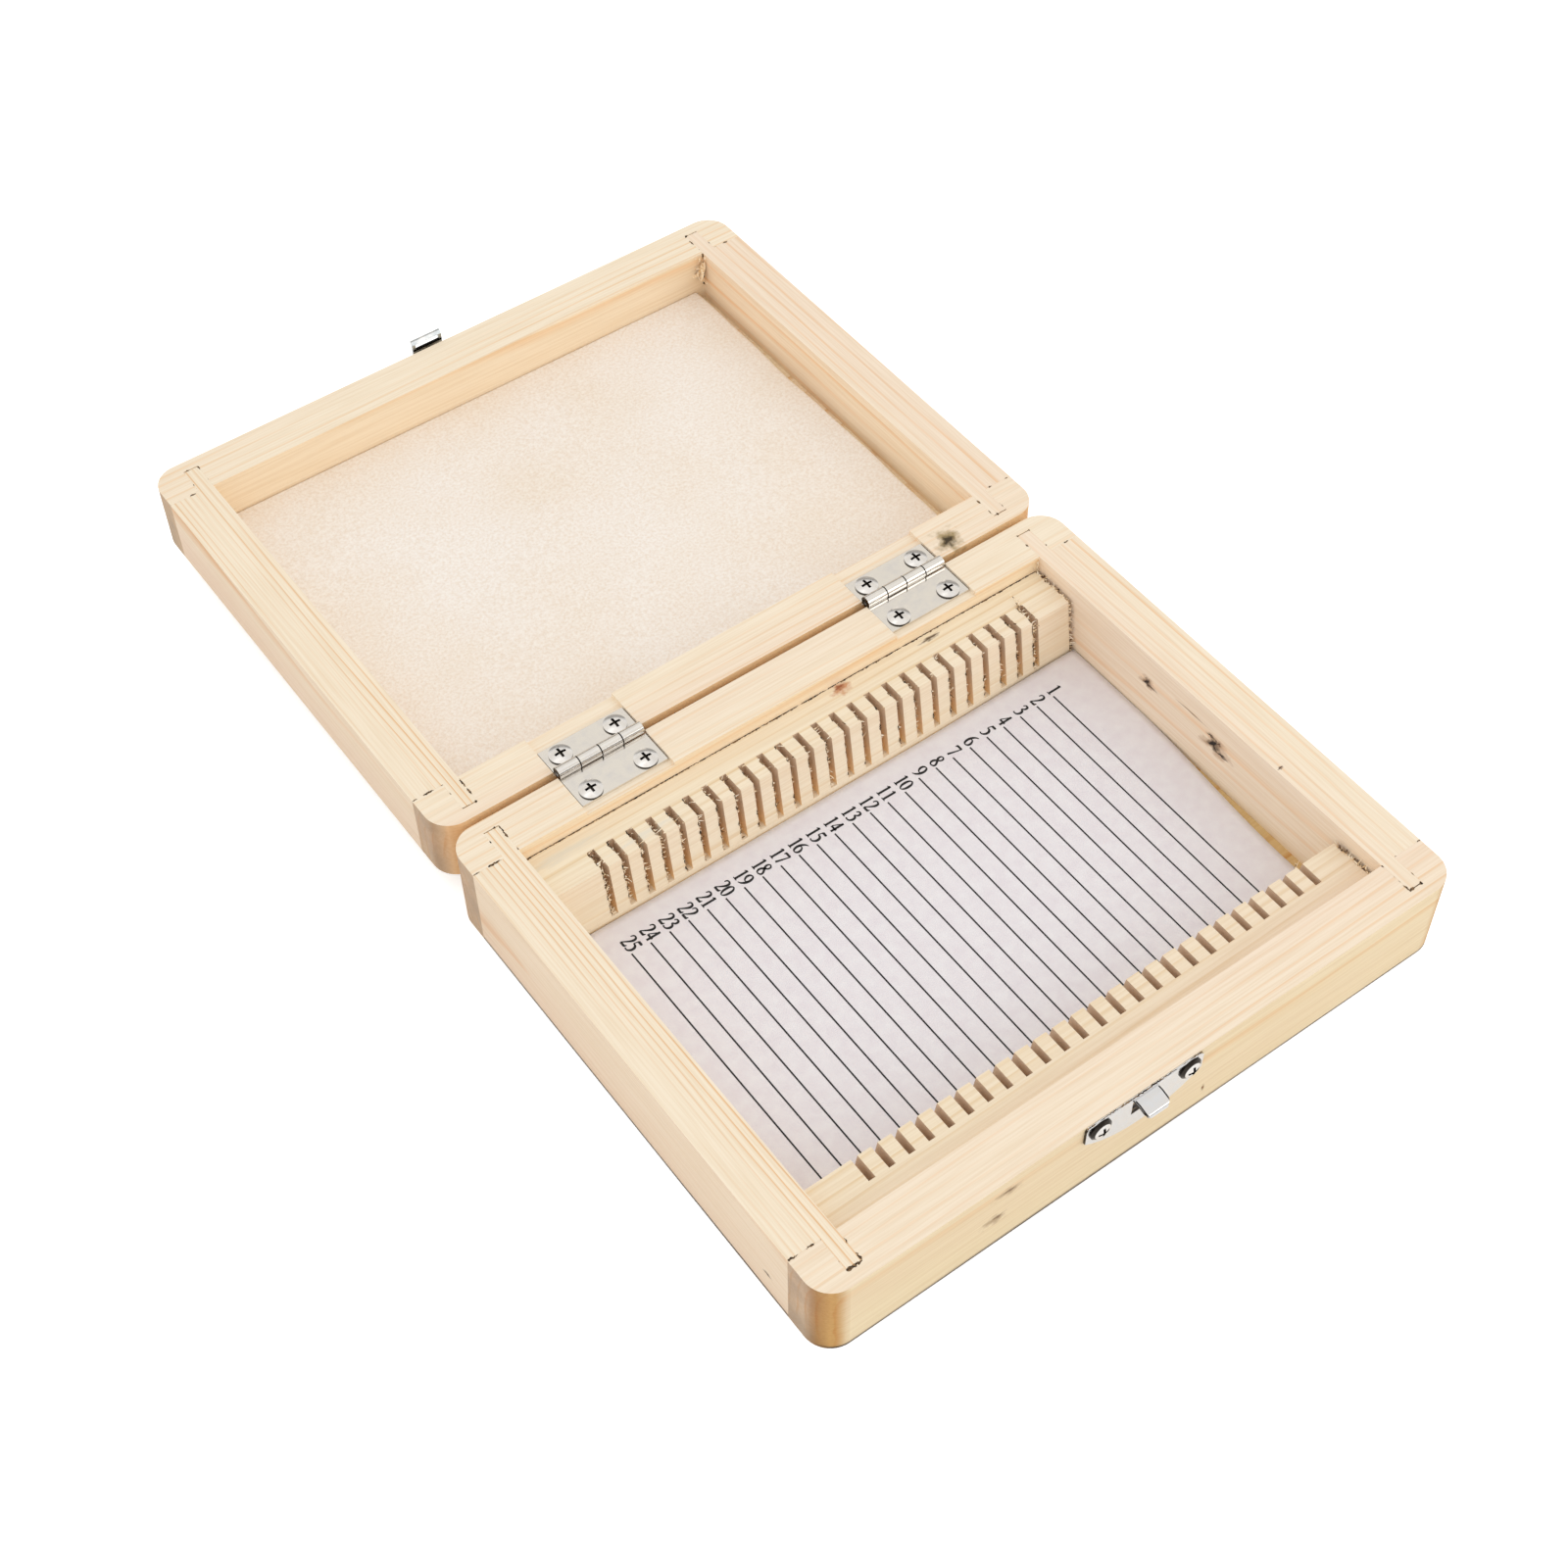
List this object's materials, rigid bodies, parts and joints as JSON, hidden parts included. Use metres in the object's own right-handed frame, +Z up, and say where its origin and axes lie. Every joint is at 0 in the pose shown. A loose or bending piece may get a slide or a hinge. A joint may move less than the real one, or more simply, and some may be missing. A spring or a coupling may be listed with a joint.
{
  "type": "microscope slide storage box",
  "caption": "Hinged wooden box for glass microscope slides, open flat, with slotted racks, an index card, a foam-lined lid, butt hinges and a hasp catch.",
  "frame": {"origin": "centre of the base tray's underside, on the surface that the box stands on", "axes": "+Z up, -Y towards the front of the base with the catch, +Y towards the hinges and the lid, which lies folded open behind the base, +X to the right"},
  "size_m": [0.131, 0.2192, 0.02],
  "materials": {
    "base_wood": "planed softwood, unvarnished",
    "lid_wood": "planed softwood, unvarnished",
    "rack_wood": "sawn softwood, slots with torn fibres",
    "panel_wood": "thin plain wood panel",
    "card": "matt printed card",
    "foam": "fine open-cell foam, matt",
    "nickel": "bright nickel plate"
  },
  "bodies": {
    "base": {"base_front_rail": "base_wood", "base_back_rail": "base_wood", "base_left_rail": "base_wood", "base_right_rail": "base_wood", "base_bottom_panel": "panel_wood", "front_slide_rack": "rack_wood", "back_slide_rack": "rack_wood", "index_card": "card", "left_hinge_base_leaf": "nickel", "left_hinge_pin": "nickel", "right_hinge_base_leaf": "nickel", "right_hinge_pin": "nickel", "base_hinge_screws": "nickel", "catch_plate": "nickel", "catch_screws": "nickel"},
    "lid": {"lid_front_rail": "lid_wood", "lid_back_rail": "lid_wood", "lid_left_rail": "lid_wood", "lid_right_rail": "lid_wood", "lid_top_panel": "panel_wood", "lid_foam_pad": "foam", "left_hinge_lid_leaf": "nickel", "right_hinge_lid_leaf": "nickel", "lid_hinge_screws": "nickel", "hasp_plate": "nickel", "hasp_plate_screws": "nickel", "hasp_pin": "nickel"},
    "hasp": {"hasp": "nickel"}
  },
  "joints": [
    {"name": "lid_hinge", "type": "hinge", "parent": "base", "child": "lid", "pos_m": [0, 0.05375, 0.01825], "axis": [1, 0, 0], "range_deg": [0, 180.2]},
    {"name": "hasp_hinge", "type": "hinge", "parent": "lid", "child": "hasp", "pos_m": [-0.0035, 0.16145, 0.0156], "axis": [-1, 0, 0], "range_deg": [0, 170]}
  ]
}
